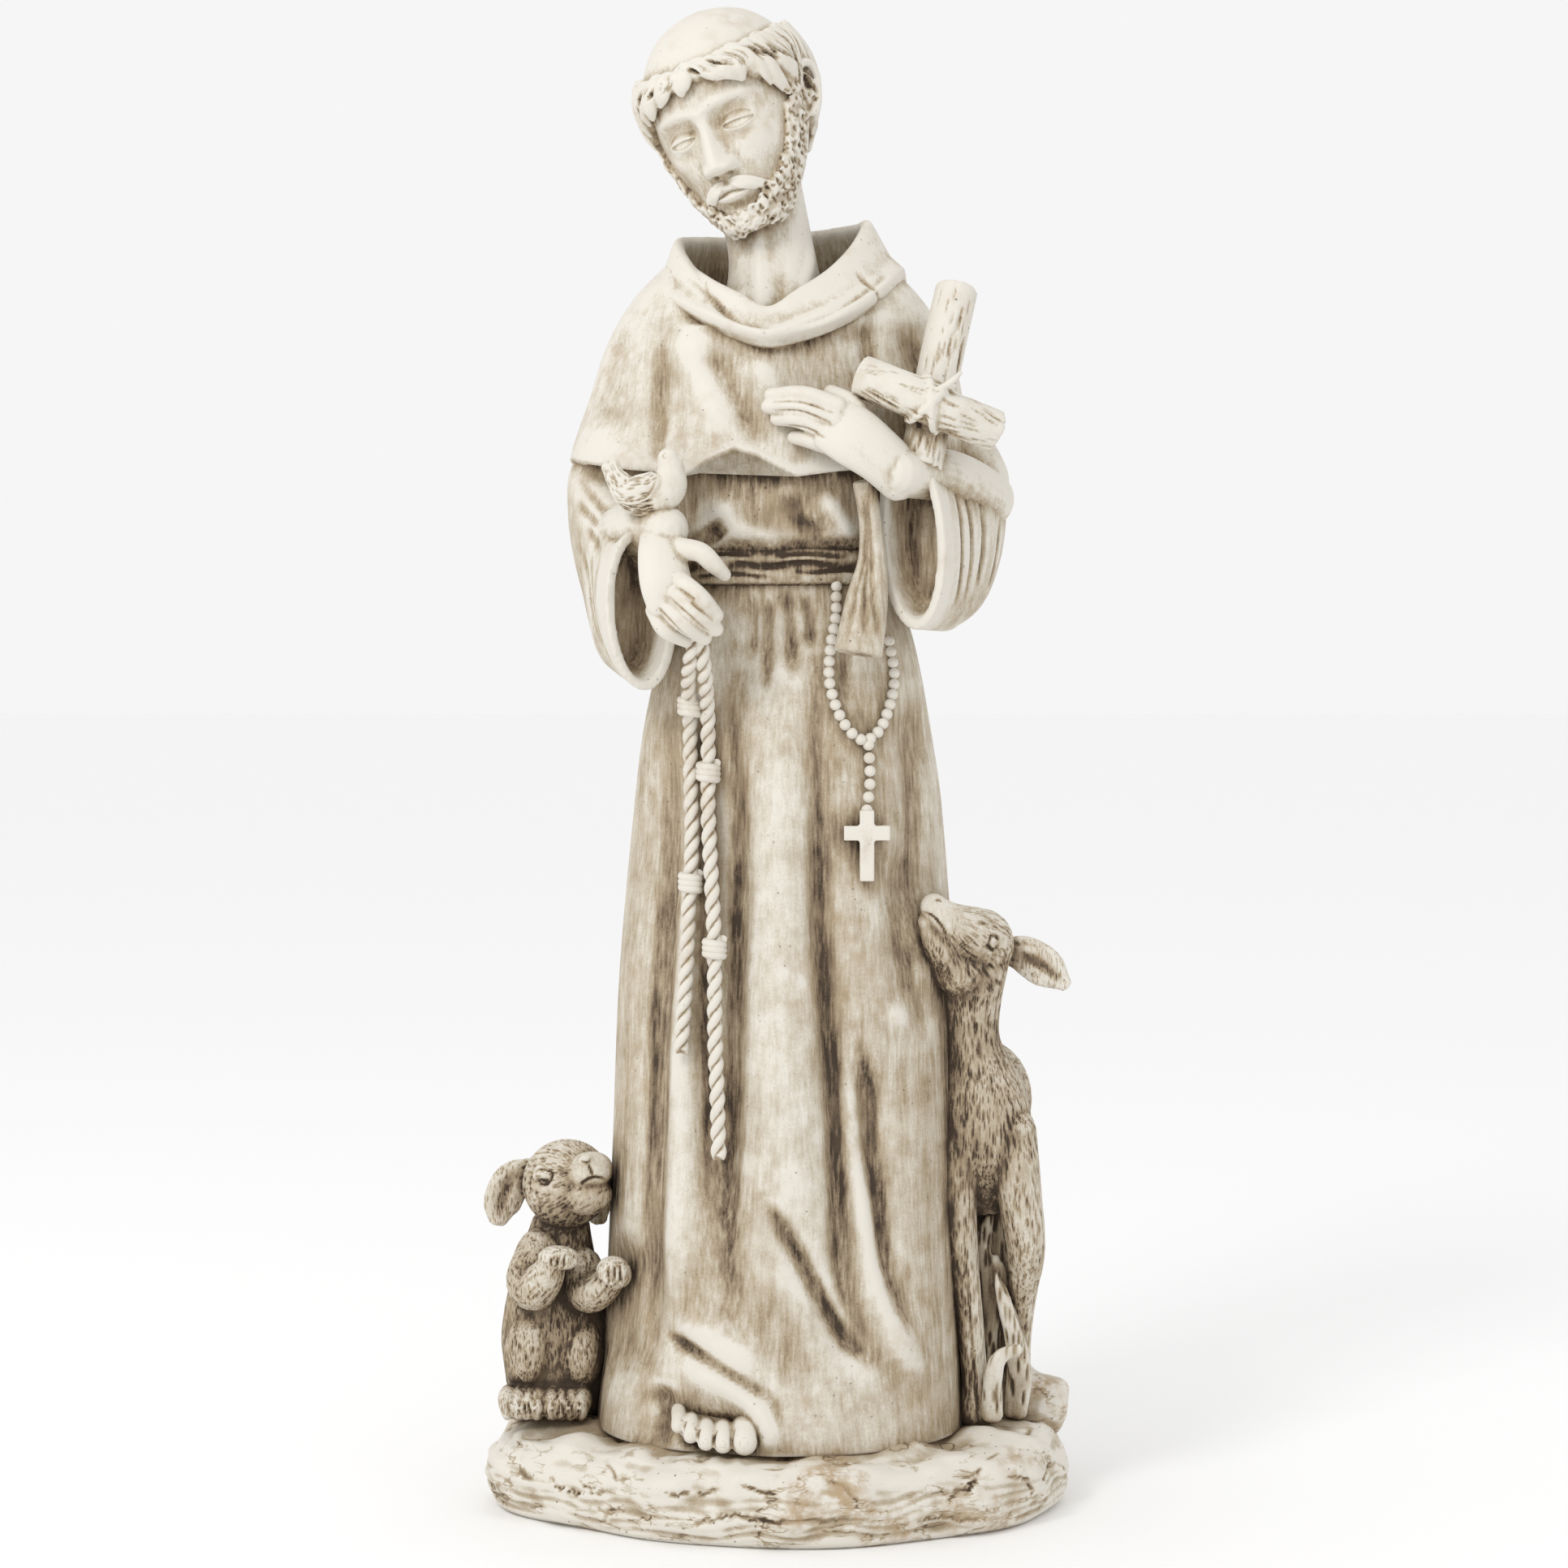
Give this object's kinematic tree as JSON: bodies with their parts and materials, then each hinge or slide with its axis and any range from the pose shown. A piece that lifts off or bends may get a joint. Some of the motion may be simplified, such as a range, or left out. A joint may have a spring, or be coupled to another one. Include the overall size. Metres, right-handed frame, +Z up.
{
  "type": "saint statue",
  "caption": "Garden statue of a robed friar holding a log cross, with a bird, a rabbit and a fawn on a rocky base.",
  "frame": {"origin": "on the ground, at the middle of the base's flat underside", "axes": "+Z up, the friar faces -Y, +X to the right seen from the front"},
  "size_m": [0.368, 0.2806, 0.9291],
  "materials": {
    "antiqued_stone_resin": "ivory stone-mix resin with a brown-grey wash left in the hollows and rubbed off the high parts"
  },
  "bodies": {
    "root": {"saint_francis_statue": "antiqued_stone_resin"}
  },
  "joints": []
}
